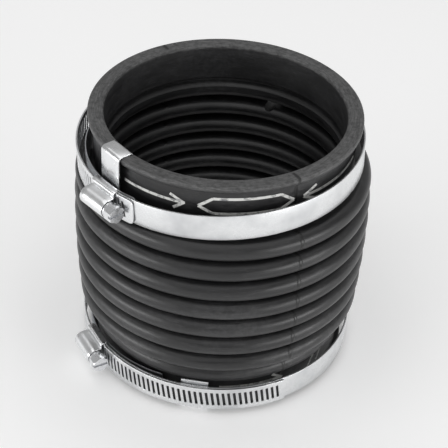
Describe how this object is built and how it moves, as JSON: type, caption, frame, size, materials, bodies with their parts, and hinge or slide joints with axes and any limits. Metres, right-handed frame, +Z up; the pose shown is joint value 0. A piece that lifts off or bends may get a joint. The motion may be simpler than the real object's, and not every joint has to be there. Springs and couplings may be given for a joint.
{
  "type": "flexible bellows pipe coupling",
  "caption": "Moulded rubber bellows coupling that joins two tubes end to end, with a worm-drive hose clamp on each cuff and a spring clip hooked over each end.",
  "frame": {"origin": "centre of the lower end face, on the bore axis", "axes": "+Z up along the bore axis towards the upper cuff, -Y towards the front, +X to the right"},
  "size_m": [0.134, 0.134, 0.1243],
  "materials": {
    "black_rubber": "matte",
    "stainless_strip": "satin",
    "stainless_pressed": "satin",
    "stainless_screw": "satin"
  },
  "bodies": {
    "lower_cuff": {"lower_cuff": "black_rubber"},
    "lower_clamp": {"lower_clamp_band": "stainless_strip", "lower_clamp_housing": "stainless_pressed", "lower_clamp_saddle": "stainless_pressed", "lower_clamp_liner": "stainless_strip"},
    "lower_screw": {"lower_clamp_screw": "stainless_screw"},
    "lower_tail": {"lower_clamp_tail": "stainless_strip"},
    "lower_clip": {"lower_clip": "stainless_pressed"},
    "upper_cuff": {"upper_cuff": "black_rubber"},
    "upper_clamp": {"upper_clamp_band": "stainless_strip", "upper_clamp_housing": "stainless_pressed", "upper_clamp_saddle": "stainless_pressed", "upper_clamp_liner": "stainless_strip"},
    "upper_screw": {"upper_clamp_screw": "stainless_screw"},
    "upper_tail": {"upper_clamp_tail": "stainless_strip"},
    "upper_clip": {"upper_clip": "stainless_pressed"},
    "fold_1": {"convolution_1": "black_rubber"},
    "fold_2": {"convolution_2": "black_rubber"},
    "fold_3": {"convolution_3": "black_rubber"},
    "fold_4": {"convolution_4": "black_rubber"},
    "fold_5": {"convolution_5": "black_rubber"},
    "fold_6": {"convolution_6": "black_rubber"},
    "fold_7": {"convolution_7": "black_rubber"}
  },
  "joints": [
    {"name": "stretch_1", "type": "slide", "parent": "lower_cuff", "child": "fold_1", "axis": [0, 0, 1], "range_m": [-0.001, 0.004], "stiffness_N_per_m": 15000, "deforming": ["convolution_1"]},
    {"name": "nod_1", "type": "hinge", "parent": "fold_1", "child": "fold_2", "pos_m": [0, 0, 0.0355], "axis": [1, 0, 0], "range_deg": [-3, 3], "stiffness_Nm_per_rad": 8, "deforming": ["convolution_2"]},
    {"name": "sway_1", "type": "hinge", "parent": "fold_2", "child": "fold_3", "pos_m": [0, 0, 0.046], "axis": [0, 1, 0], "range_deg": [-3, 3], "stiffness_Nm_per_rad": 8, "deforming": ["convolution_3"]},
    {"name": "nod_2", "type": "hinge", "parent": "fold_3", "child": "fold_4", "pos_m": [0, 0, 0.0565], "axis": [1, 0, 0], "range_deg": [-3, 3], "stiffness_Nm_per_rad": 8, "deforming": ["convolution_4"]},
    {"name": "sway_2", "type": "hinge", "parent": "fold_4", "child": "fold_5", "pos_m": [0, 0, 0.067], "axis": [0, 1, 0], "range_deg": [-3, 3], "stiffness_Nm_per_rad": 8, "deforming": ["convolution_5"]},
    {"name": "nod_3", "type": "hinge", "parent": "fold_5", "child": "fold_6", "pos_m": [0, 0, 0.0775], "axis": [1, 0, 0], "range_deg": [-3, 3], "stiffness_Nm_per_rad": 8, "deforming": ["convolution_6"]},
    {"name": "sway_3", "type": "hinge", "parent": "fold_6", "child": "fold_7", "pos_m": [0, 0, 0.088], "axis": [0, 1, 0], "range_deg": [-3, 3], "stiffness_Nm_per_rad": 8, "deforming": ["convolution_7"]},
    {"name": "stretch_2", "type": "slide", "parent": "fold_7", "child": "upper_cuff", "axis": [0, 0, 1], "range_m": [-0.001, 0.004], "stiffness_N_per_m": 15000},
    {"name": "upper_clamp_turn", "type": "hinge", "parent": "upper_cuff", "child": "upper_clamp", "pos_m": [-0.0012, 0, 0.1055], "axis": [-0.0419, 0, 0.9991], "range_deg": [-12, 12]},
    {"name": "upper_screw_turn", "type": "hinge", "parent": "upper_clamp", "child": "upper_screw", "pos_m": [-0.05154, -0.04537, 0.10339], "axis": [-0.6685, 0.7431, -0.028], "range_deg": [0, 2880]},
    {"name": "upper_strip_feed", "type": "hinge", "parent": "upper_clamp", "child": "upper_tail", "pos_m": [-0.0012, 0, 0.1055], "axis": [-0.0419, 0, 0.9991], "range_deg": [0, 17.93]},
    {"name": "upper_clip_pull", "type": "slide", "parent": "upper_cuff", "child": "upper_clip", "axis": [0, 0, 1], "range_m": [0, 0.03]},
    {"name": "lower_clamp_turn", "type": "hinge", "parent": "lower_cuff", "child": "lower_clamp", "pos_m": [0, 0, 0.0094], "axis": [0, 0, 1], "range_deg": [-30, 12]},
    {"name": "lower_screw_turn", "type": "hinge", "parent": "lower_clamp", "child": "lower_screw", "pos_m": [-0.05872, -0.0339, 0.0094], "axis": [-0.5, 0.866, 0], "range_deg": [0, 2880]},
    {"name": "lower_strip_feed", "type": "hinge", "parent": "lower_clamp", "child": "lower_tail", "pos_m": [0, 0, 0.0094], "axis": [0, 0, 1], "range_deg": [0, 17.93]},
    {"name": "lower_clip_pull", "type": "slide", "parent": "lower_cuff", "child": "lower_clip", "axis": [0, 0, -1], "range_m": [0, 0.03]}
  ],
  "couplings": [
    {"joint": "nod_1", "follows": "nod_2", "ratio": 1},
    {"joint": "nod_3", "follows": "nod_2", "ratio": 1},
    {"joint": "sway_1", "follows": "sway_2", "ratio": 1},
    {"joint": "sway_3", "follows": "sway_2", "ratio": 1},
    {"joint": "stretch_2", "follows": "stretch_1", "ratio": 1},
    {"joint": "upper_screw_turn", "follows": "upper_strip_feed", "ratio": 160.59},
    {"joint": "lower_screw_turn", "follows": "lower_strip_feed", "ratio": 160.59}
  ]
}
